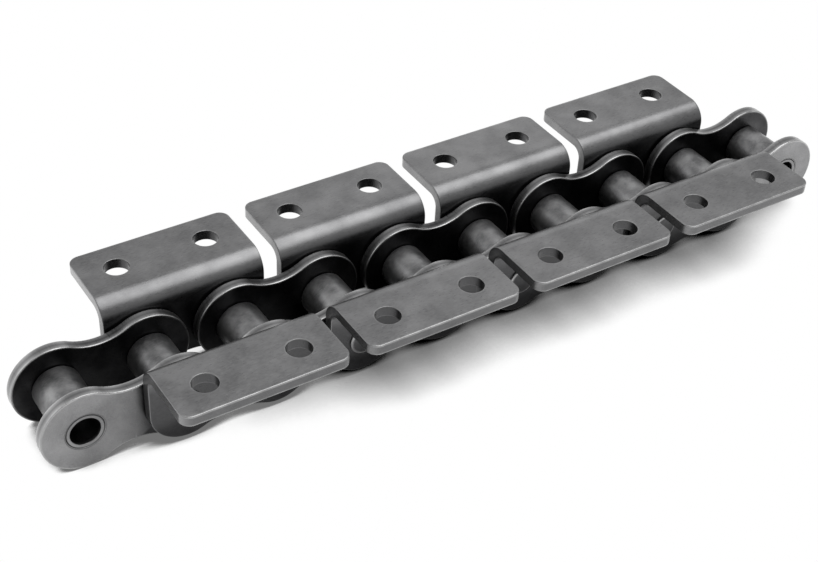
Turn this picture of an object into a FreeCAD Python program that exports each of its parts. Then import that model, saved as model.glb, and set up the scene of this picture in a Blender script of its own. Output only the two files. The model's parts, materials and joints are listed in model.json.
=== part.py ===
import FreeCAD, Part
import math
import os

# Roller conveyor chain with bent attachment plates, millimetres.
# X runs along the chain, Y across it, Z up. The origin is under the middle of
# the chain, on the surface that its inner plates lie on. The flanges face up.

# Chain
pitch = 25.4
inner_link_count = 5

# Pins, bushes and rollers, from the inside out
pin_diameter = 7.9
pin_end_rise = 0.9
pin_end_chamfer = 0.6
pin_radial_clearance = 0.05
bush_wall = 1.1
roller_radial_clearance = 0.06
roller_wall = 1.19
roller_chamfer = 0.5
roller_side_clearance = 0.2

# Inner link plates
inner_width = 16.0
inner_plate_thickness = 3.0
inner_plate_end_gap = 2.4
inner_waist_depth = 3.2

# Attachment plates, which are the outer link plates
side_clearance = 0.6
attachment_thickness = 3.0
attachment_end_gap = 5.2
attachment_waist_depth = 2.7
bend_inside_radius = 3.0
flange_height = 15.9
flange_corner = 3.0
flange_hole_diameter = 6.8
flange_hole_offset = 25.4
flange_hole_spacing = 25.4
flange_hole_to_edge = 9.1

# Worked out from the sizes above
bush_bore = pin_diameter + 2 * pin_radial_clearance
bush_diameter = bush_bore + 2 * bush_wall
roller_bore = bush_diameter + 2 * roller_radial_clearance
roller_diameter = roller_bore + 2 * roller_wall
roller_length = inner_width - 2 * roller_side_clearance
inner_end_radius = (pitch - inner_plate_end_gap) / 2
bush_length = inner_width + 2 * inner_plate_thickness
web_inside_y = bush_length / 2 + side_clearance
web_outside_y = web_inside_y + attachment_thickness
attachment_end_radius = (pitch - attachment_end_gap) / 2
attachment_length = pitch + 2 * attachment_end_radius
flange_reach = flange_hole_offset + flange_hole_to_edge
bend_radius = bend_inside_radius + attachment_thickness
axis_height = max(inner_end_radius, attachment_end_radius)
roller_count = 2 * inner_link_count
chain_half = (roller_count - 1) * pitch / 2

# How far a cutting shape runs past the face that it cuts
OVERRUN = 1.0
ACROSS = FreeCAD.Vector(0, 1, 0)
ORIGIN = FreeCAD.Vector(0, 0, 0)


def axis_x(station):
    """Place along X of a pin axis, counted from 1 at the left end."""
    return (station - 1) * pitch - chain_half


def side_point(x, z):
    return FreeCAD.Vector(x, 0, z)


def line(start, end):
    return Part.LineSegment(start, end).toShape()


def arc(start, middle, end):
    return Part.Arc(start, middle, end).toShape()


def bar(diameter, start_y, length, x=0.0):
    """Round bar along Y."""
    return Part.makeCylinder(diameter / 2, length, FreeCAD.Vector(x, start_y, 0), ACROSS)


def waist_turn(end_radius, waist_depth):
    """Angle at an end circle's centre, from +X, at which the hollow waist arc begins.

    The waist arc touches both end circles, and passes the middle of the plate
    the waist depth below their tops.
    """
    half = pitch / 2
    waist = end_radius - waist_depth
    hollow_radius = (half ** 2 + waist ** 2 - end_radius ** 2) / (2 * waist_depth)
    return math.atan2(waist + hollow_radius, -half)


def on_end_circle(side, radius, angle):
    """Point on the round end of a plate; side is -1 at the left end and 1 at the right."""
    return side_point(side * (pitch / 2 + radius * math.cos(angle)), radius * math.sin(angle))


def link_outline(radius, waist_depth):
    """Figure-of-eight outline of a link plate, centred between its two holes."""
    turn = waist_turn(radius, waist_depth)
    waist = radius - waist_depth
    end = pitch / 2 + radius
    top_right = on_end_circle(1, radius, turn)
    top_left = on_end_circle(-1, radius, turn)
    low_right = on_end_circle(1, radius, -turn)
    low_left = on_end_circle(-1, radius, -turn)
    return Part.Wire([
        arc(low_right, side_point(end, 0), top_right),
        arc(top_right, side_point(0, waist), top_left),
        arc(top_left, side_point(-end, 0), low_left),
        arc(low_left, side_point(0, -waist), low_right),
    ])


def web_outline(radius, waist_depth, top):
    """Side view of an attachment plate: lobed like a link plate below, straight above."""
    turn = waist_turn(radius, waist_depth)
    waist = radius - waist_depth
    end = pitch / 2 + radius
    low_right = on_end_circle(1, radius, -turn)
    low_left = on_end_circle(-1, radius, -turn)
    return Part.Wire([
        line(side_point(end, top), side_point(-end, top)),
        line(side_point(-end, top), side_point(-end, 0)),
        arc(side_point(-end, 0), on_end_circle(-1, radius, -turn / 2), low_left),
        arc(low_left, side_point(0, -waist), low_right),
        arc(low_right, on_end_circle(1, radius, -turn / 2), side_point(end, 0)),
        line(side_point(end, 0), side_point(end, top)),
    ])


def bent_section():
    """Section of the rear attachment plate across the chain: web, bend and flange."""
    fold_y = web_inside_y + bend_radius
    fold_z = flange_height - bend_radius
    low = -attachment_end_radius
    under = flange_height - attachment_thickness
    middle = math.sqrt(0.5)

    def at(y, z):
        return FreeCAD.Vector(0, y, z)

    def fold(radius):
        return at(fold_y - radius * middle, fold_z + radius * middle)

    return Part.Wire([
        line(at(web_inside_y, low), at(web_inside_y, fold_z)),
        arc(at(web_inside_y, fold_z), fold(bend_radius), at(fold_y, flange_height)),
        line(at(fold_y, flange_height), at(flange_reach, flange_height)),
        line(at(flange_reach, flange_height), at(flange_reach, under)),
        line(at(flange_reach, under), at(fold_y, under)),
        arc(at(fold_y, under), fold(bend_inside_radius), at(web_outside_y, fold_z)),
        line(at(web_outside_y, fold_z), at(web_outside_y, low)),
        line(at(web_outside_y, low), at(web_inside_y, low)),
    ])


def inner_plate():
    """Rear inner link plate, flat side against the rollers at Y = 0."""
    outline = link_outline(inner_end_radius, inner_waist_depth)
    plate = Part.Face(outline).extrude(FreeCAD.Vector(0, inner_plate_thickness, 0))
    for side in (-1, 1):
        depth = inner_plate_thickness + 2 * OVERRUN
        plate = plate.cut(bar(bush_diameter, -OVERRUN, depth, side * pitch / 2))
    return plate


def bush():
    """Bush, its ends level with the outer faces of the inner plates."""
    body = bar(bush_diameter, -bush_length / 2, bush_length)
    return body.cut(bar(bush_bore, -bush_length / 2 - OVERRUN, bush_length + 2 * OVERRUN))


def round_edges(body):
    return [edge for edge in body.Edges if isinstance(edge.Curve, Part.Circle)]


def roller():
    """Roller that turns on the bush, its outer edges broken."""
    body = bar(roller_diameter, -roller_length / 2, roller_length)
    body = body.makeChamfer(roller_chamfer, round_edges(body))
    return body.cut(bar(roller_bore, -roller_length / 2 - OVERRUN, roller_length + 2 * OVERRUN))


def pin():
    """Pin pressed through both attachment plates, its ends standing a little proud."""
    half = web_outside_y + pin_end_rise
    body = bar(pin_diameter, -half, 2 * half)
    return body.makeChamfer(pin_end_chamfer, round_edges(body))


def flange_corner_edges(plate):
    """The two upright edges at the free side of the flange."""
    found = []
    for edge in plate.Edges:
        box = edge.BoundBox
        upright = box.ZLength > box.XLength + box.YLength
        if upright and abs(box.YMax - flange_reach) < 0.001:
            found.append(edge)
    return found


def attachment_plate():
    """Rear attachment plate, centred between its two pins, with their axes at Z = 0."""
    strip = Part.Face(bent_section()).extrude(FreeCAD.Vector(attachment_length, 0, 0))
    strip.translate(FreeCAD.Vector(-attachment_length / 2, 0, 0))
    outline = web_outline(attachment_end_radius, attachment_waist_depth, flange_height + OVERRUN)
    blank = Part.Face(outline).extrude(FreeCAD.Vector(0, flange_reach + OVERRUN, 0))
    plate = strip.common(blank)
    plate = plate.makeFillet(flange_corner, flange_corner_edges(plate))
    depth = attachment_thickness + 2 * OVERRUN
    for side in (-1, 1):
        plate = plate.cut(bar(pin_diameter, web_inside_y - OVERRUN, depth, side * pitch / 2))
        low_z = flange_height - attachment_thickness - OVERRUN
        low = FreeCAD.Vector(side * flange_hole_spacing / 2, flange_hole_offset, low_z)
        plate = plate.cut(Part.makeCylinder(flange_hole_diameter / 2, depth, low))
    return plate


def save(shape, node, x, y=0.0, turn=0.0):
    """Write a copy of a piece, turned about Z and set at its place on the pin axes."""
    piece = shape.copy()
    piece.rotate(ORIGIN, FreeCAD.Vector(0, 0, 1), turn)
    piece.translate(FreeCAD.Vector(x, y, axis_height))
    piece.exportStep("parts/" + node + ".step")
    print(node, "volume", round(piece.Volume, 1))


os.makedirs("parts", exist_ok=True)

rear_inner_plate = inner_plate()
rear_attachment = attachment_plate()
one_bush = bush()
one_roller = roller()
one_pin = pin()

for link in range(1, inner_link_count + 1):
    middle_x = (axis_x(2 * link - 1) + axis_x(2 * link)) / 2
    save(rear_inner_plate, "inner_plate_rear_%d" % link, middle_x, inner_width / 2)
    save(rear_inner_plate, "inner_plate_front_%d" % link, middle_x, -inner_width / 2, 180)

for station in range(1, roller_count + 1):
    save(one_bush, "bush_%d" % station, axis_x(station))
    save(one_roller, "roller_%d" % station, axis_x(station))

for station in range(2, roller_count):
    save(one_pin, "pin_%d" % (station - 1), axis_x(station))

for link in range(1, inner_link_count):
    middle_x = (axis_x(2 * link) + axis_x(2 * link + 1)) / 2
    save(rear_attachment, "attachment_plate_rear_%d" % link, middle_x)
    save(rear_attachment, "attachment_plate_front_%d" % link, middle_x, 0, 180)
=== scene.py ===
import json
import math

import bmesh
import bpy
import numpy as np
from mathutils import Matrix, Vector


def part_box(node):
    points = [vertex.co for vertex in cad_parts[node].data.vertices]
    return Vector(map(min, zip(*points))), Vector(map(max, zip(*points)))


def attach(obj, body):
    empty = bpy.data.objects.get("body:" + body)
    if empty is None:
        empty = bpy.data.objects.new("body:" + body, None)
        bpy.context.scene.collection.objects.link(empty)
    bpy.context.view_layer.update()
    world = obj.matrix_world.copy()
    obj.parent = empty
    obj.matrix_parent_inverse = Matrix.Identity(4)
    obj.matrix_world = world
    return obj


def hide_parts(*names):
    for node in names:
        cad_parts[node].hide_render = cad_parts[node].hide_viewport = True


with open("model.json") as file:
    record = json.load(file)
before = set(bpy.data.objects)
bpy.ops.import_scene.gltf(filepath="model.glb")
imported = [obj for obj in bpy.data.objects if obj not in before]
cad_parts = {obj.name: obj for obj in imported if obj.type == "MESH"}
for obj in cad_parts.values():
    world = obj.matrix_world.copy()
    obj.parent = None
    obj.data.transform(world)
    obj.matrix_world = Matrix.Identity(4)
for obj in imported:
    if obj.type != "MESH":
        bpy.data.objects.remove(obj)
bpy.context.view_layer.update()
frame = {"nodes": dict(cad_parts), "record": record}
mm = 0.001
hair = 0.01 * mm  # places nearer than this count as the same


# Sizes read from the frame

def boxSize(node):
    low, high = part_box(node)
    return high - low


def boxMiddle(node):
    low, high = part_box(node)
    return (low + high) / 2


def bodyOf(node):
    bodies = frame["record"]["behaviour"]["bodies"]
    return [body for body, members in bodies.items() if node in members][0]


def mountSize(name, key):
    found = [mount for mount in frame["record"]["mounts"] if mount["name"] == name][0]
    return found["dims"][key] * mm


rollerCount = len([node for node in frame["nodes"] if node.startswith("roller_")])
innerLinkCount = rollerCount // 2
outerLinkCount = innerLinkCount - 1
rollerPlaces = [boxMiddle("roller_%d" % number).x for number in range(1, rollerCount + 1)]
axisHeight = boxMiddle("roller_1").z
pitch = rollerPlaces[1] - rollerPlaces[0]
bushRadius = boxSize("bush_1").z / 2
bushHalf = boxSize("bush_1").y / 2
boreRadius = mountSize("left_end_bore", "r_mm")
pinRadius = boxSize("pin_1").z / 2
pinHalf = boxSize("pin_1").y / 2
rollerRadius = boxSize("roller_1").z / 2
rollerHalf = boxSize("roller_1").y / 2
boltX = mountSize("flange_bolts_1", "spacing_x_mm") / 2
boltY = mountSize("flange_bolts_1", "spacing_y_mm") / 2
boltRadius = mountSize("flange_bolts_1", "hole_r_mm")
print("sizes read: pitch %.2f mm, axis %.2f mm up" % (pitch / mm, axisHeight / mm))


# Meshes worked out on grids

# Quads of a rows by columns grid whose points are numbered row by row from start. A closed grid
# goes on from its last column to its first.
def gridFaces(rows, columns, start, closed):
    row = np.arange(rows - 1)[:, None]
    column = np.arange(columns if closed else columns - 1)[None, :]
    nextColumn = (column + 1) % columns
    corners = [row * columns + column, row * columns + nextColumn,
               (row + 1) * columns + nextColumn, (row + 1) * columns + column]
    return np.stack(corners, -1).reshape(-1, 4) + start


# One point list, one wear list and one quad list from several (points, wear, closed) grids
def joinGrids(grids):
    points, wears, quads, start = [], [], [], 0
    for grid, wear, closed in grids:
        rows, columns = grid.shape[:2]
        points.append(grid.reshape(-1, 3))
        wears.append(np.broadcast_to(wear, (rows, columns)).reshape(-1))
        quads.append(gridFaces(rows, columns, start, closed))
        start += rows * columns
    return np.concatenate(points), np.concatenate(wears), np.concatenate(quads)


mergeStep = 1e-8  # metres


# Points that round to the same multiple of the merge step become one, with the larger wear
def mergePoints(points, wear, quads):
    keys = np.round(points / mergeStep).astype(np.int64)
    _, first, where = np.unique(keys, axis=0, return_index=True, return_inverse=True)
    where = where.reshape(-1)
    merged = np.zeros(len(first))
    np.maximum.at(merged, where, wear)
    return points[first], merged, where[quads]


# A closed, smooth mesh that keeps the wear and the painted shade of each point as attributes
def makePiece(name, grids, material, paintedShadeAt=None):
    points, wear, quads = mergePoints(*joinGrids(grids))
    paintedShade = paintedShadeAt(points) if paintedShadeAt else np.zeros(len(points))
    faces = [list(dict.fromkeys(quad)) for quad in quads.tolist()]  # a quad at a pole has fewer corners
    faces = [face for face in faces if len(face) > 2]
    mesh = bpy.data.meshes.new(name)
    mesh.from_pydata(points.tolist(), [], faces)
    shape = bmesh.new()
    shape.from_mesh(mesh)
    bmesh.ops.recalc_face_normals(shape, faces=shape.faces)
    shape.to_mesh(mesh)
    shape.free()
    for mark, values in (("wear", wear), ("paintedShade", paintedShade)):
        mesh.attributes.new(mark, "FLOAT", "POINT").data.foreach_set("value", values.astype(np.float32))
    mesh.polygons.foreach_set("use_smooth", [True] * len(mesh.polygons))
    mesh.materials.append(material)
    piece = bpy.data.objects.new(name, mesh)
    bpy.context.scene.collection.objects.link(piece)
    normals = piece.modifiers.new("flat faces stay flat", "WEIGHTED_NORMAL")
    normals.mode = "FACE_AREA"
    normals.weight = 100  # the largest face at a point decides
    normals.keep_sharp = False
    return piece


# The piece stands for a node of the frame and moves with that node's body
def stand(piece, node):
    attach(piece, bodyOf(node))
    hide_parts(node)


# 1 up to the reach less the fade, then evenly down to 0 at the reach
def fading(distance, reach, fade):
    return np.clip((reach - distance) / fade, 0, 1)


# Distance along the chain from the nearest of some places
def fromNearest(x, places):
    return np.abs(x[:, None] - np.array(places)).min(1)


# Steel finishes

def addNode(tree, kind, **values):
    node = tree.nodes.new(kind)
    for key, value in values.items():
        setattr(node, key, value)
    return node


# Noise on Object coordinates, which are first stretched by three factors
def noiseOn(tree, coordinates, scale, detail, roughness=0.5, stretch=(1, 1, 1)):
    mapping = addNode(tree, "ShaderNodeMapping")
    mapping.inputs["Scale"].default_value = stretch
    tree.links.new(coordinates, mapping.inputs["Vector"])
    noise = addNode(tree, "ShaderNodeTexNoise")
    noise.inputs["Scale"].default_value = scale
    noise.inputs["Detail"].default_value = detail
    noise.inputs["Roughness"].default_value = roughness
    tree.links.new(mapping.outputs["Vector"], noise.inputs["Vector"])
    return noise.outputs["Fac"]


# A value within the span becomes one from toLow to toHigh, and stays between them outside it
def remap(tree, value, span, toLow, toHigh):
    node = addNode(tree, "ShaderNodeMapRange", clamp=True)
    limits = {"From Min": span[0], "From Max": span[1], "To Min": toLow, "To Max": toHigh}
    for key, number in limits.items():
        node.inputs[key].default_value = number
    tree.links.new(value, node.inputs["Value"])
    return node.outputs["Result"]


def combine(tree, operation, a, b):
    node = addNode(tree, "ShaderNodeMath", operation=operation, use_clamp=False)
    for socket, value in zip(node.inputs, (a, b)):
        if isinstance(value, (int, float)):
            socket.default_value = value
        else:
            tree.links.new(value, socket)
    return node.outputs["Value"]


def mixColour(tree, factor, a, b):
    node = addNode(tree, "ShaderNodeMix", data_type="RGBA")
    tree.links.new(factor, node.inputs["Factor"])
    for socket, value in zip((node.inputs["A"], node.inputs["B"]), (a, b)):
        if isinstance(value, tuple):
            socket.default_value = value + (1.0,)
        else:
            tree.links.new(value, socket)
    return node.outputs["Result"]


def attributeOn(tree, name):
    return addNode(tree, "ShaderNodeAttribute", attribute_name=name).outputs["Fac"]


# Dark satin steel: mottled tone, fine grain, near-black painted shade on faces, joints and recesses that
# lie in shade, and worn, paler edges
def steel(name, look):
    material = bpy.data.materials.new(name)
    material.use_nodes = True
    tree = material.node_tree
    shader = tree.nodes["Principled BSDF"]
    coordinates = tree.nodes.new("ShaderNodeTexCoord").outputs["Object"]
    blotch = noiseOn(tree, coordinates, look["blotchScale"], look["blotchDetail"])
    grain = noiseOn(tree, coordinates, look["grainScale"], look["grainDetail"], look["grainRoughness"],
                    look["grainStretch"])
    patch = noiseOn(tree, coordinates, look["patchScale"], look["patchDetail"])
    tone = mixColour(tree, remap(tree, blotch, look["blotchSpan"], 0, 1), look["dark"], look["light"])
    flecks = remap(tree, grain, look["fleckSpan"], 0, look["fleckMost"])
    tone = mixColour(tree, flecks, tone, look["fleck"])
    # Painted shade: a patchy share of each point's shade mark mixes the tone towards near black
    paintedShadePatches = remap(tree, blotch, look["patchSpan"], look["paintedShadeLeast"], 1)
    paintedShade = combine(tree, "MULTIPLY", attributeOn(tree, "paintedShade"), paintedShadePatches)
    tone = mixColour(tree, paintedShade, tone, look["paintedShade"])
    wearPatches = remap(tree, patch, look["patchSpan"], look["wearLeast"], 1)
    rub = combine(tree, "POWER", attributeOn(tree, "wear"), look["wearPower"])
    rub = combine(tree, "MULTIPLY", rub, wearPatches)
    rub = combine(tree, "MULTIPLY", rub, look["wearMost"])
    tree.links.new(mixColour(tree, rub, tone, look["worn"]), shader.inputs["Base Color"])
    roughness = remap(tree, grain, look["roughSpan"], look["smooth"], look["rough"])
    polish = combine(tree, "MULTIPLY", rub, -look["wearPolish"])
    tree.links.new(combine(tree, "ADD", roughness, polish), shader.inputs["Roughness"])
    bump = addNode(tree, "ShaderNodeBump")
    bump.inputs["Strength"].default_value = look["bump"]
    bump.inputs["Distance"].default_value = look["bumpDepth"]
    tree.links.new(grain, bump.inputs["Height"])
    tree.links.new(bump.outputs["Normal"], shader.inputs["Normal"])
    shader.inputs["Metallic"].default_value = look["metallic"]
    return material


# A span gives the noise values between which one tone passes into the other
# The near-black colour in each look below is painted shade, laid on faces, joints and recesses that lie
# in shade
plateLook = dict(
    dark=(0.14, 0.14, 0.142), light=(0.19, 0.19, 0.192),
    blotchScale=130, blotchDetail=3, blotchSpan=(0.35, 0.65),
    fleck=(0.27, 0.27, 0.27), fleckMost=0.3, fleckSpan=(0.42, 0.75),
    grainScale=2600, grainDetail=4, grainRoughness=0.6, grainStretch=(1, 0.12, 1),
    # painted shade, near black
    paintedShade=(0.015, 0.015, 0.016), paintedShadeLeast=0.8,
    worn=(0.36, 0.36, 0.36), wearLeast=0.4, wearMost=0.85, wearPower=1.5, wearPolish=0.04,
    patchScale=210, patchDetail=2, patchSpan=(0.3, 0.6),
    smooth=0.26, rough=0.38, roughSpan=(0.3, 0.7),
    bump=0.12, bumpDepth=0.04 * mm, metallic=0.93)
attachmentLook = dict(plateLook, dark=(0.11, 0.11, 0.112), light=(0.155, 0.155, 0.157), fleckMost=0.2,
                      grainStretch=(0.3, 1, 1), paintedShade=(0.013, 0.013, 0.014), bump=0.09)
bushLook = dict(plateLook, light=(0.185, 0.185, 0.187), grainStretch=(1, 8, 1),
                paintedShade=(0.018, 0.018, 0.019))
rollerLook = dict(plateLook, dark=(0.075, 0.075, 0.077), light=(0.19, 0.19, 0.192), blotchScale=210,
                  fleck=(0.32, 0.32, 0.32), grainScale=1100, grainStretch=(1, 6, 1),
                  paintedShade=(0.03, 0.03, 0.031), wearMost=0.5, smooth=0.31, rough=0.46)
pinLook = dict(plateLook, dark=(0.19, 0.19, 0.192), light=(0.26, 0.26, 0.262))
innerPlateSteel = steel("inner plate steel", plateLook)
attachmentSteel = steel("attachment steel", attachmentLook)
bushSteel = steel("bush steel", bushLook)
rollerSteel = steel("roller steel", rollerLook)
pinSteel = steel("pin steel", pinLook)
print("five steels made")


# Flat and bent plates: the right half of the blank is worked out as grids and mirrored. A blank
# point is (u, v): u along the chain, v up the plate, both from between the pin holes.

plate = dict(waistSteps=14, lobeSteps=44, rimSteps=4,
             wallFrom=2.5,                # where the wall's wear begins, in sizes of the rounded edge
             fadeMost=0.3,                # the widest band of wear, as a share of the way across a cell
             holeWear=0.3, holeWallWear=0.05, wallWear=0.1)


# Angles of a quarter turn, both ends included
def quarter(steps):
    return np.linspace(0, math.pi / 2, steps + 1)


# Points on an arc, centre + radius times (cosine, sine), with their outward directions. On a
# hollow arc these point to its centre.
def arcPoints(centre, radius, fromAngle, toAngle, steps, hollow=False):
    turn = np.linspace(fromAngle, toAngle, steps + 1)
    way = np.stack([np.cos(turn), np.sin(turn)], 1)
    return np.array(centre) + radius * way, -way if hollow else way


# Evenly spaced points from start to end, all with one outward direction
def straightPoints(start, end, steps, outward):
    share = np.linspace(0, 1, steps + 1)[:, None]
    points = np.array(start) * (1 - share) + np.array(end) * share
    return points, np.broadcast_to(np.array(outward, float), points.shape).copy()


# Runs of outline end to end; the first point of each run but the first is dropped
def joinRuns(runs):
    points = np.concatenate([runs[0][0]] + [run[0][1:] for run in runs[1:]])
    outward = np.concatenate([runs[0][1]] + [run[1][1:] for run in runs[1:]])
    return points, outward


# Lower right outline of a link plate: half the hollow waist, then the round end up to the axis.
# With h half the pitch, w the half height at the waist and r the end's radius, the waist arc's
# radius is (h² + w² - r²) / (2 * waist depth), and so it touches the round ends.
def lobeRuns(endRadius, waistDepth):
    half = pitch / 2
    waist = endRadius - waistDepth
    hollow = (half ** 2 + waist ** 2 - endRadius ** 2) / (2 * waistDepth)
    turn = math.atan2(waist + hollow, -half)
    waistEnd = math.pi - turn
    low = arcPoints((0, -waist - hollow), hollow, math.pi / 2, waistEnd, plate["waistSteps"], True)
    end = arcPoints((half, 0), endRadius, -turn, 0, plate["lobeSteps"])
    return [low, end]


# Wear of the edges of an outline: edges that run along the chain have the side wear, or the low wear
# under the pins, kept small as painted shade where the lower edges lie in shade, and edges across it the
# corner wear
def edgeWear(run, look):
    points, outward = run
    along = np.where(points[:, 1] < 0, look["shadedLowWear"], look["sideWear"])
    return along + (look["cornerWear"] - along) * outward[:, 0] ** 2


# How far a rounded rim stands in from the outline, how deep it lies and its wear, from face to
# face: a quarter circle, the wall and a quarter circle
def rimProfile(size, thickness, worn, wall):
    turn = quarter(plate["rimSteps"])
    inset = np.append(size * (1 - np.sin(turn)), [0, 0])
    depth = np.append(size * (1 - np.cos(turn)), [plate["wallFrom"] * size, thickness / 2])
    wear = np.append(np.full(len(turn), worn), [wall, wall])
    return (np.concatenate([inset, inset[-2::-1]]), np.concatenate([depth, thickness - depth[-2::-1]]),
            np.concatenate([wear, wear[-2::-1]]))


# One cell of a plate: both faces, on straight rays from the rim of its round hole out to its
# border, and the wall of the hole. Wear lies along the two rims.
def cellGrids(cell, thickness, fade):
    ray = cell["border"] - cell["centre"]
    length = np.linalg.norm(ray, axis=1, keepdims=True)
    way = ray / length
    radius = cell["radius"] + cell["edge"]
    inner = cell["centre"] + way * radius
    gap = length - radius
    near = np.minimum(fade, gap * plate["fadeMost"])
    rings = [0 * gap, near, gap / 2, gap - near, gap]
    face = np.stack([inner + way * ring for ring in rings], 0)
    wear = np.zeros(face.shape[:2])
    wear[0] = plate["holeWear"]
    wear[-1] = cell["wear"]
    inset, depth, wallWear = rimProfile(cell["edge"], thickness, plate["holeWear"], plate["holeWallWear"])
    wall = cell["centre"] + way * (cell["radius"] + inset[:, None, None])
    return [(face, 0, wear, True), (face, thickness, wear, True),
            (wall, depth[:, None], wallWear[:, None], True)]


# All grids of the right half of a flat plate, as (points, level under the face, wear, closed):
# its cells, its plain strips and its outer rim. Walls that face along the chain have the end wear.
def blankGrids(cells, strips, run, thickness, look):
    rim, outward = run
    flat = []
    for cell in cells:
        flat += cellGrids(cell, thickness, look["fade"])
    for grid, wear in strips:
        flat += [(grid, 0, wear, False), (grid, thickness, wear, False)]
    inset, depth, onEdge = rimProfile(look["edge"], thickness, 1, 0)
    wallWear = plate["wallWear"] + (look["endWear"] - plate["wallWear"]) * outward[:, 0] ** 2
    rimWear = onEdge[:, None] * edgeWear(run, look) + (1 - onEdge[:, None]) * wallWear
    return flat + [(rim - outward * inset[:, None, None], depth[:, None], rimWear, False)]


# Both halves of a flat plate, carried to their place by a function of u, v and level
def bothHalves(flat, toSpace):
    grids = []
    for side in (1, -1):
        for grid, level, wear, closed in flat:
            u = grid[..., 0] * side
            level = np.broadcast_to(level, u.shape)
            grids.append((toSpace(u, grid[..., 1], level), wear, closed))
    return grids


innerPlate = dict(
    waistDepth=3.2 * mm, edge=0.28 * mm, holeEdge=0.2 * mm, fade=0.3 * mm, middleSteps=12,
    # the low wear, under the pins, is kept below the side wear as painted shade
    sideWear=1.0, shadedLowWear=0.8, cornerWear=0.6, endWear=0.15,
    paintedShadeDepth=0.25 * mm,                                      # painted shade, from the inner face into the rim
    rimPaintedShade=0.55,                                             # painted shade in the rough band along the rim
    waistPaintedShade=0.75, waistReach=9.0 * mm, waistFade=4.0 * mm,  # more painted shade round the waist
    nearPaintedShade=0.95, nearReach=12.5 * mm, nearFade=2.2 * mm,    # painted shade beside the outer link's plates
    farPaintedShade=0.4, farReach=17.0 * mm, farFade=7.0 * mm,        # painted shade smeared on from there
    groovePaintedShade=0.9)                                           # painted shade round the bush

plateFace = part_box("inner_plate_rear_1")[0].y
plateMiddle = boxMiddle("inner_plate_rear_1").y
waistPlaces = [boxMiddle("inner_plate_rear_%d" % number).x for number in range(1, innerLinkCount + 1)]


# One cell: the lower outline, its mirror image above the axis, and the line between the halves
def innerPlateBlank():
    size = boxSize("inner_plate_rear_1")
    points, outward = joinRuns(lobeRuns(size.z / 2, innerPlate["waistDepth"]))
    up = np.array([1, -1])
    rim = np.concatenate([points, points[::-1][1:] * up])
    outward = np.concatenate([outward, outward[::-1][1:] * up])
    border = rim - outward * innerPlate["edge"]
    middle = np.linspace(border[-1], border[0], innerPlate["middleSteps"] + 1)[1:-1]
    onRim = np.concatenate([edgeWear((rim, outward), innerPlate), np.zeros(len(middle))])
    cell = dict(border=np.concatenate([border, middle]), wear=onRim, centre=np.array([pitch / 2, 0]),
                radius=bushRadius, edge=innerPlate["holeEdge"])
    return blankGrids([cell], [], (rim, outward), size.y, innerPlate)


# Painted shade: full on the face by the rollers and gone a little way into the rim; some in the rough
# band along the middle of the rim; on the outer face beside the outer link's plates and round the bush
def innerPlatePaintedShade(points):
    x, y, z = points[:, 0], np.abs(points[:, 1]), points[:, 2]
    look = innerPlate
    onInner = fading(y - plateFace, look["paintedShadeDepth"], look["paintedShadeDepth"])
    waist = fading(fromNearest(x, waistPlaces), look["waistReach"], look["waistFade"]) * look["waistPaintedShade"]
    onRim = (np.abs(y - plateMiddle) < hair) * np.maximum(look["rimPaintedShade"], waist)
    fromPin = fromNearest(x, rollerPlaces[1:-1])
    near = fading(fromPin, look["nearReach"], look["nearFade"]) * look["nearPaintedShade"]
    far = fading(fromPin, look["farReach"], look["farFade"]) * look["farPaintedShade"]
    fromBush = np.hypot(fromNearest(x, rollerPlaces), z - axisHeight)
    groove = (fromBush < bushRadius + look["holeEdge"] + hair) * look["groovePaintedShade"]
    outerFace = 2 * plateMiddle - plateFace
    onOuter = (y > outerFace - hair) * np.max([near, far, groove], axis=0)
    return np.max([onInner, onRim, onOuter], axis=0)


def makeInnerPlates():
    blank = innerPlateBlank()
    for number in range(1, innerLinkCount + 1):
        for word, side in (("front", -1), ("rear", 1)):
            node = "inner_plate_%s_%d" % (word, number)
            middleX = boxMiddle(node).x

            def toSpace(u, v, level):
                return np.stack([middleX + u, side * (plateFace + level), axisHeight + v], -1)

            grids = bothHalves(blank, toSpace)
            piece = makePiece(node + "_blanked", grids, innerPlateSteel, innerPlatePaintedShade)
            stand(piece, node)
    print("inner link plates made:", 2 * innerLinkCount)


attachment = dict(
    thickness=3.0 * mm, sideGap=0.6 * mm, waistDepth=2.7 * mm, bendInside=3.0 * mm, corner=3.0 * mm,
    edge=0.25 * mm, pinHoleEdge=0.1 * mm, boltHoleEdge=0.15 * mm, fade=0.4 * mm,
    webSteps=22, foldSteps=14, flangeSteps=24, cornerSteps=12, freeSteps=30, acrossSteps=35,
    # the low wear, under the pins, is kept far below the side wear as painted shade
    middleSteps=33, sideWear=0.7, shadedLowWear=0.1, cornerWear=0.05, endWear=0.3,
    innerReach=5.2 * mm, innerFade=5.9 * mm, innerPower=0.8,  # painted shade on the inner face, by height over the fold
    wallReach=2.7 * mm, wallFade=0.3 * mm,                    # and from there into the web's walls
    highPaintedShade=0.65, highReach=2.0 * mm, highFade=4.0 * mm,      # painted shade on the outer face at the fold
    lowPaintedShade=0.95, lowReach=-4.0 * mm, lowFade=12.0 * mm,       # and lower down
    holePaintedShade=0.7, freePaintedShade=0.45, holeClear=1.0 * mm)            # painted shade in the bolt holes and on the flange's free wall

webInside = bushHalf + attachment["sideGap"]
webOutside = webInside + attachment["thickness"]
bendOutside = attachment["bendInside"] + attachment["thickness"]
attachmentLow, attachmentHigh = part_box("attachment_plate_rear_1")
flangeReach = attachmentHigh.y
flangeTop = attachmentHigh.z - axisHeight
foldY = webInside + bendOutside
foldZ = flangeTop - bendOutside
foldRun = (bendOutside - attachment["thickness"] / 2) * math.pi / 2  # along the middle of the bend
foldEnd = foldZ + foldRun


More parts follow.
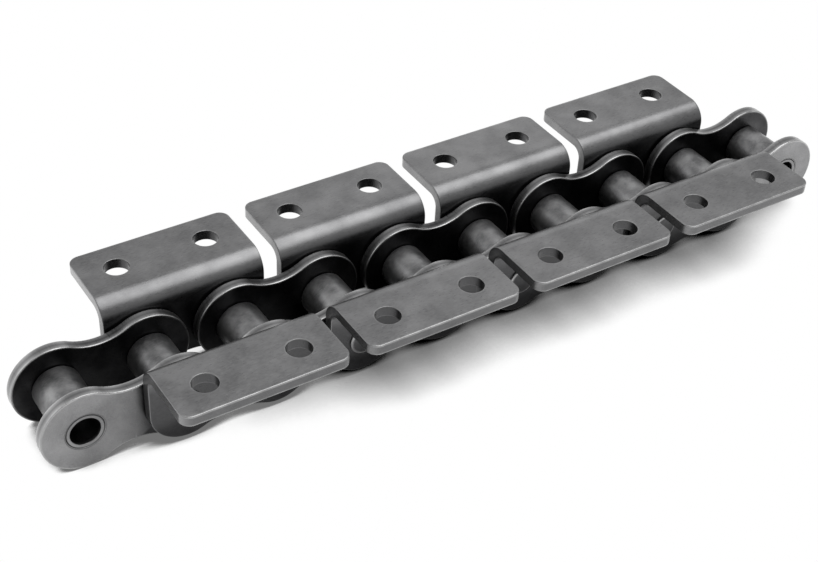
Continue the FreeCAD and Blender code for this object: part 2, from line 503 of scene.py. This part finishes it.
# The blank runs up the web, through the bend and out along the flange: a lower cell round the pin
# hole, a strip that is bent, and an upper cell round the bolt hole
def attachmentBlank():
    look = attachment
    endRadius = (attachmentHigh.x - attachmentLow.x - pitch) / 2
    end = pitch / 2 + endRadius
    top = foldEnd + flangeReach - foldY
    corner, edge, fade = look["corner"], look["edge"], look["fade"]
    web = straightPoints((end, 0), (end, foldZ), look["webSteps"], (1, 0))
    lower = joinRuns(lobeRuns(endRadius, look["waistDepth"]) + [web])
    fold = straightPoints((end, foldZ), (end, foldEnd), look["foldSteps"], (1, 0))
    upper = joinRuns([
        straightPoints((end, foldEnd), (end, top - corner), look["flangeSteps"], (1, 0)),
        arcPoints((end - corner, top - corner), corner, 0, math.pi / 2, look["cornerSteps"]),
        straightPoints((end - corner, top), (0, top), look["freeSteps"], (0, 1))])

    inner = np.linspace(end - edge - fade, 0, look["acrossSteps"] + 1)
    across = np.concatenate([[end - edge], inner])

    def lineAt(v):
        return np.stack([across, np.full(len(across), v)], 1)

    lowBorder = lower[0] - lower[1] * edge
    lowMiddle = np.linspace((0, foldZ), lowBorder[0], look["middleSteps"] + 1)[1:-1]
    lowLoop = np.concatenate([lowBorder, lineAt(foldZ)[1:], lowMiddle])
    topBorder = upper[0] - upper[1] * edge
    topMiddle = np.linspace(topBorder[-1], (0, foldEnd), look["acrossSteps"] + 1)[1:]
    topLoop = np.concatenate([topBorder, topMiddle, lineAt(foldEnd)[::-1][1:-1]])

    def wearRound(run, loop):
        onRim = edgeWear(run, look)
        return np.concatenate([onRim, np.zeros(len(loop) - len(onRim))])

    pinCell = dict(border=lowLoop, wear=wearRound(lower, lowLoop), centre=np.array([pitch / 2, 0]),
                   radius=pinRadius, edge=look["pinHoleEdge"])
    boltCell = dict(border=topLoop, wear=wearRound(upper, topLoop),
                    centre=np.array([boltX, foldEnd + boltY - foldY]),
                    radius=boltRadius, edge=look["boltHoleEdge"])
    strip = np.stack([lineAt(v) for v in fold[0][:, 1]], 0)
    stripWear = np.zeros(strip.shape[:2])
    stripWear[:, 0] = look["cornerWear"]
    run = joinRuns([lower, fold, upper])
    return blankGrids([pinCell, boltCell], [(strip, stripWear)], run, look["thickness"], look)


# Painted shade on the web's inner face, growing from the bend downwards, some on its outer face
# and in the bolt holes, and a little on the flange's free wall
def attachmentPaintedShade(points):
    x, y, z = points[:, 0], np.abs(points[:, 1]), points[:, 2] - axisHeight
    look = attachment
    height = z - foldZ
    onInner = fading(height, look["innerReach"], look["innerFade"]) ** look["innerPower"]
    onInner = onInner * fading(y - webInside, look["wallReach"], look["wallFade"])
    high = fading(height, look["highReach"], look["highFade"]) * look["highPaintedShade"]
    low = fading(height, look["lowReach"], look["lowFade"]) * look["lowPaintedShade"]
    onOuter = (np.abs(y - webOutside) < hair) * np.maximum(high, low)
    fromHole = np.hypot(fromNearest(x, rollerPlaces), y - boltY)
    inHole = (fromHole < boltRadius + hair) * look["holePaintedShade"]
    below = flangeTop - z  # the free wall lies from under the upper rounded edge to the lower one
    onWall = (below > look["edge"] + hair) & (below < look["thickness"] - look["edge"] + hair)
    clear = fromHole > boltRadius + look["holeClear"]
    free = np.clip((y - flangeReach) / look["corner"] + 1, 0, 1) ** 2  # it starts at the rounded corner
    onFree = onWall * clear * free * look["freePaintedShade"]
    return np.max([onInner, onOuter, inHole, onFree], axis=0)


def makeAttachments():
    blank = attachmentBlank()
    for number in range(1, outerLinkCount + 1):
        for word, side in (("front", -1), ("rear", 1)):
            node = "attachment_plate_%s_%d" % (word, number)
            middleX = boxMiddle(node).x

            # straight up to the fold, a quarter circle round it, and straight outwards
            def toSpace(u, v, level):
                turn = np.clip((v - foldZ) / foldRun, 0, 1) * math.pi / 2
                radius = bendOutside - level
                y = foldY - radius * np.cos(turn) + np.maximum(v - foldEnd, 0)
                z = foldZ + radius * np.sin(turn) + np.minimum(v - foldZ, 0)
                return np.stack([middleX + u, side * y, axisHeight + z], -1)

            grids = bothHalves(blank, toSpace)
            piece = makePiece(node + "_bent", grids, attachmentSteel, attachmentPaintedShade)
            stand(piece, node)
    print("attachment plates made:", 2 * outerLinkCount)


# Round pieces: a profile of (radius, y) points, turned about the pin axis

away, towards, back = (1, 0), (-1, 0), (0, -1)  # directions in a profile: off the axis, to it, inwards


# Points round a convex corner of a profile: a quarter circle that begins on the side which runs
# off in the first direction and ends on the side which runs off in the second
def roundedCorner(cornerRadius, cornerY, size, fromSide, toSide, steps=5):
    first = np.array(fromSide, float)
    second = np.array(toSide, float)
    turn = quarter(steps)[:, None]
    corner = np.array([cornerRadius, cornerY])
    return corner + size * (first * (1 - np.sin(turn)) + second * (1 - np.cos(turn)))


# The profile of a bored piece: one half from the outside to the bore, its mirror image back, and
# the first point again
def closedProfile(half):
    return np.concatenate([half, half[::-1][1:-1] * [1, -1], half[:1]])


# Each profile point is carried round the pin axis: x and z are on its circle, y stays
def turnedGrid(profile, steps, centreX):
    turn = np.arange(steps) * (2 * math.pi / steps)
    radius = profile[:, 0:1]
    x = centreX + radius * np.cos(turn)
    z = axisHeight + radius * np.sin(turn)
    y = np.broadcast_to(profile[:, 1:2], x.shape)
    return np.stack([x, y, z], -1)


def fromAxis(points, place):
    return np.hypot(points[:, 0] - place, points[:, 2] - axisHeight)


roller = dict(edgeRound=0.5 * mm, boreGap=0.06 * mm, boreRound=0.15 * mm, steps=128)


# The tread, a rounded edge, the end face, the mouth of the bore and the bore
def makeRollers():
    bore = bushRadius + roller["boreGap"]
    edge = roundedCorner(rollerRadius, rollerHalf, roller["edgeRound"], back, towards)
    mouth = roundedCorner(bore, rollerHalf, roller["boreRound"], away, back)
    profile = closedProfile(np.concatenate([[[rollerRadius, 0]], edge, mouth, [[bore, 0]]]))
    byEnd = np.abs(profile[:, 1]) > rollerHalf - roller["edgeRound"]
    byTread = profile[:, 0] > rollerRadius - roller["edgeRound"]
    wear = (byEnd & byTread).astype(float)[:, None]
    for number, place in enumerate(rollerPlaces, 1):
        grid = turnedGrid(profile, roller["steps"], place)
        piece = makePiece("roller_%d_turned" % number, [(grid, wear, True)], rollerSteel)
        stand(piece, "roller_%d" % number)
    print("rollers made:", rollerCount)


bush = dict(edgeRound=0.35 * mm, boreRound=0.25 * mm, endWear=0.15, steps=112,
            borePaintedShadeFrom=1.2 * mm,                  # the painted shade in the bore is full from here inwards
            boreRoom=0.05 * mm,                    # how far from the bore's wall still counts as the bore
            groovePaintedShade=0.95, grooveFade=0.15 * mm)  # painted shade in the rounded edge, beside the plate


# Painted shade: full in the bore from a little way in, and nearly full in the groove round the bush's end
def bushPaintedShade(points, place):
    depth = bushHalf - np.abs(points[:, 1])
    across = fromAxis(points, place)
    inBore = (across < boreRadius + bush["boreRoom"]) * np.clip(depth / bush["borePaintedShadeFrom"], 0, 1)
    groove = fading(bushRadius - across, bush["edgeRound"], bush["grooveFade"]) * bush["groovePaintedShade"]
    return np.maximum(inBore, (depth < bush["edgeRound"]) * groove)


# The outside, a rounded edge, the end face, the mouth of the bore and the bore
def makeBushes():
    edge = roundedCorner(bushRadius, bushHalf, bush["edgeRound"], back, towards)
    mouth = roundedCorner(boreRadius, bushHalf, bush["boreRound"], away, back)
    inner = [[boreRadius, bushHalf - bush["borePaintedShadeFrom"]], [boreRadius, 0]]
    profile = closedProfile(np.concatenate([[[bushRadius, 0]], edge, mouth, inner]))
    onEnd = np.abs(profile[:, 1]) > bushHalf - hair
    wear = onEnd.astype(float)[:, None] * bush["endWear"]
    for number, place in enumerate(rollerPlaces, 1):
        grid = turnedGrid(profile, bush["steps"], place)
        piece = makePiece("bush_%d_turned" % number, [(grid, wear, True)], bushSteel,
                          lambda points: bushPaintedShade(points, place))
        stand(piece, "bush_%d" % number)
    print("bushes made:", rollerCount)


pin = dict(flare=0.3 * mm, headRound=0.4 * mm, dome=0.25 * mm, domeSteps=8, steps=112,
           spread=0.02 * mm,                   # the head stands this far off the plate where it begins
           rimWear=0.6, wearFrom=0.1 * mm,     # on the rim, from this far off the plate
           # painted shade on the face of the head, inside its rim
           facePaintedShade=0.9, paintedShadeInset=0.25 * mm, paintedShadeFade=0.3 * mm)
pinHead = pinRadius + pin["flare"]


# Painted shade on the face of the head, inside its rim
def pinPaintedShade(points, place):
    inside = fading(fromAxis(points, place), pinHead - pin["paintedShadeInset"], pin["paintedShadeFade"])
    return (np.abs(points[:, 1]) > webOutside) * inside * pin["facePaintedShade"]


# A plain shank whose ends are spread over the plates: a wider, rounded rim round a low dome, whose
# height is 1 less the square of the share of the way out
def makePins():
    rimY = pinHalf - pin["dome"]
    rim = roundedCorner(pinHead, rimY, pin["headRound"], back, towards)
    reach = pinHead - pin["headRound"]
    share = np.linspace(1, 0, pin["domeSteps"] + 1)[1:, None]
    dome = np.concatenate([share * reach, rimY + pin["dome"] * (1 - share ** 2)], 1)
    shank = [[pinRadius, 0], [pinRadius, webOutside], [pinHead, webOutside + pin["spread"]]]
    half = np.concatenate([shank, rim, dome])
    profile = np.concatenate([half[::-1] * [1, -1], half[1:]])
    worn = (np.abs(profile[:, 1]) > webOutside + pin["wearFrom"]) & (profile[:, 0] > reach - hair)
    wear = worn.astype(float)[:, None] * pin["rimWear"]
    for number in range(1, 2 * outerLinkCount + 1):
        place = boxMiddle("pin_%d" % number).x
        grid = turnedGrid(profile, pin["steps"], place)
        piece = makePiece("pin_%d_riveted" % number, [(grid, wear, True)], pinSteel,
                          lambda points: pinPaintedShade(points, place))
        stand(piece, "pin_%d" % number)
    print("pins made:", 2 * outerLinkCount)


makeInnerPlates()
makeAttachments()
makeRollers()
makeBushes()
makePins()


# Floor, light and camera

white = (1, 1, 1, 1)
stage = dict(
    size=6.0, floorTone=0.96, floorRough=0.9, floorLift=0.6, roomLight=0.4,
    shadowSamples=48,
    wideReach=0.03, wideSpan=(0.24, 0.66),                     # the soft shadow round the object
    leftSpan=(-0.1, -0.035), leftPale=0.42,                    # which is paler under the left end
    tightReach=0.02, tightSpan=(0.42, 0.55), tightLeast=0.25,  # the shadow right under the plates
    shadowDepth=1.3)


# 1 for the rays that show the background to the camera, in metal or through glass, else 0
def seenDirectly(tree):
    path = tree.nodes.new("ShaderNodeLightPath")
    seen = combine(tree, "MAXIMUM", path.outputs["Is Camera Ray"], path.outputs["Is Glossy Ray"])
    return combine(tree, "MAXIMUM", seen, path.outputs["Is Transmission Ray"])


def openness(tree, reach):
    node = addNode(tree, "ShaderNodeAmbientOcclusion", samples=stage["shadowSamples"])
    node.inputs["Distance"].default_value = reach
    return node.outputs["AO"]


# 1 on the open floor and less near the object: the darker of the soft and the tight shadow
def contactShadow(tree):
    place = addNode(tree, "ShaderNodeSeparateXYZ")
    tree.links.new(tree.nodes.new("ShaderNodeTexCoord").outputs["Object"], place.inputs["Vector"])
    left = remap(tree, place.outputs["X"], stage["leftSpan"], stage["leftPale"], 0)
    wide = combine(tree, "ADD", openness(tree, stage["wideReach"]), left)
    wide = remap(tree, wide, stage["wideSpan"], 0, 1)
    tight = openness(tree, stage["tightReach"])
    tight = remap(tree, tight, stage["tightSpan"], stage["tightLeast"], 1)
    return combine(tree, "MINIMUM", wide, tight)


def greyOf(tree, value):
    node = addNode(tree, "ShaderNodeCombineColor")
    for socket in node.inputs:
        tree.links.new(value, socket)
    return node.outputs["Color"]


def makeFloor():
    half = stage["size"] / 2
    corners = [(-half, -half, 0), (half, -half, 0), (half, half, 0), (-half, half, 0)]
    mesh = bpy.data.meshes.new("floor")
    mesh.from_pydata(corners, [], [(0, 1, 2, 3)])
    floor = bpy.data.objects.new("floor", mesh)
    bpy.context.scene.collection.objects.link(floor)
    material = bpy.data.materials.new("pale floor")
    material.use_nodes = True
    tree = material.node_tree
    shader = tree.nodes["Principled BSDF"]
    contact = contactShadow(tree)
    tone = combine(tree, "MULTIPLY", contact, stage["floorTone"])
    tree.links.new(greyOf(tree, tone), shader.inputs["Base Color"])
    shader.inputs["Roughness"].default_value = stage["floorRough"]
    shader.inputs["Emission Color"].default_value = white
    lift = combine(tree, "MULTIPLY", seenDirectly(tree), contact)
    lift = combine(tree, "MULTIPLY", lift, stage["floorLift"])
    tree.links.new(lift, shader.inputs["Emission Strength"])
    # The camera looks through the floor at the white room, dimmed where the object is near, and so
    # it also sees the links that fold down past the floor at a pose.
    dim = combine(tree, "POWER", contact, stage["shadowDepth"])
    glass = tree.nodes.new("ShaderNodeBsdfTransparent")
    tree.links.new(greyOf(tree, dim), glass.inputs["Color"])
    path = tree.nodes.new("ShaderNodeLightPath")
    mix = tree.nodes.new("ShaderNodeMixShader")
    tree.links.new(path.outputs["Is Camera Ray"], mix.inputs["Fac"])
    tree.links.new(shader.outputs["BSDF"], mix.inputs[1])
    tree.links.new(glass.outputs["BSDF"], mix.inputs[2])
    tree.links.new(mix.outputs["Shader"], tree.nodes["Material Output"].inputs["Surface"])
    mesh.materials.append(material)


def makeWorld():
    world = bpy.data.worlds.new("pale room")
    bpy.context.scene.world = world
    world.use_nodes = True
    tree = world.node_tree
    background = tree.nodes["Background"]
    strength = remap(tree, seenDirectly(tree), (0, 1), stage["roomLight"], 1)
    tree.links.new(strength, background.inputs["Strength"])
    background.inputs["Color"].default_value = white


lamps = [
    dict(name="overhead softbox", place=(0.30, -0.14, 1.0), aim=(0, 0, 0), size=(1.1, 0.9), power=9.0),
    dict(name="left softbox", place=(-0.80, 0.45, 0.40), aim=(-0.1, 0, 0.01), size=(1.1, 0.7), power=3.0),
    dict(name="rear right softbox", place=(0.61, 0.88, 0.55), aim=(0, 0, 0), size=(0.3, 0.35), power=0.3),
]


def makeLamps():
    for lamp in lamps:
        light = bpy.data.lights.new(lamp["name"], "AREA")
        light.shape = "RECTANGLE"
        light.size, light.size_y = lamp["size"]
        light.energy = lamp["power"]
        holder = bpy.data.objects.new(lamp["name"], light)
        holder.location = lamp["place"]
        direction = Vector(lamp["aim"]) - Vector(lamp["place"])
        holder.rotation_euler = direction.to_track_quat("-Z", "Y").to_euler()
        bpy.context.scene.collection.objects.link(holder)


# The camera that was fitted to the photo: its place in millimetres and two of its directions
view = dict(place=(-200.4, -270.0, 271.8), forward=(0.44350, 0.64548, -0.62182),
            right=(0.84323, -0.53563, 0.04541), lens=67.03, sensorWidth=36, clipStart=0.01)


def makeCamera():
    data = bpy.data.cameras.new("camera")
    data.lens = view["lens"]
    data.sensor_width = view["sensorWidth"]
    data.clip_start = view["clipStart"]
    camera = bpy.data.objects.new("camera", data)
    back = -Vector(view["forward"]).normalized()
    right = Vector(view["right"]).normalized()
    up = back.cross(right)
    turn = Matrix((right, up, back)).transposed().to_4x4()
    camera.matrix_world = Matrix.Translation(Vector(view["place"]) * mm) @ turn
    bpy.context.scene.collection.objects.link(camera)
    bpy.context.scene.camera = camera


makeFloor()
makeWorld()
makeLamps()
makeCamera()
bpy.context.scene.view_settings.view_transform = "Standard"
print("floor, light and camera set")
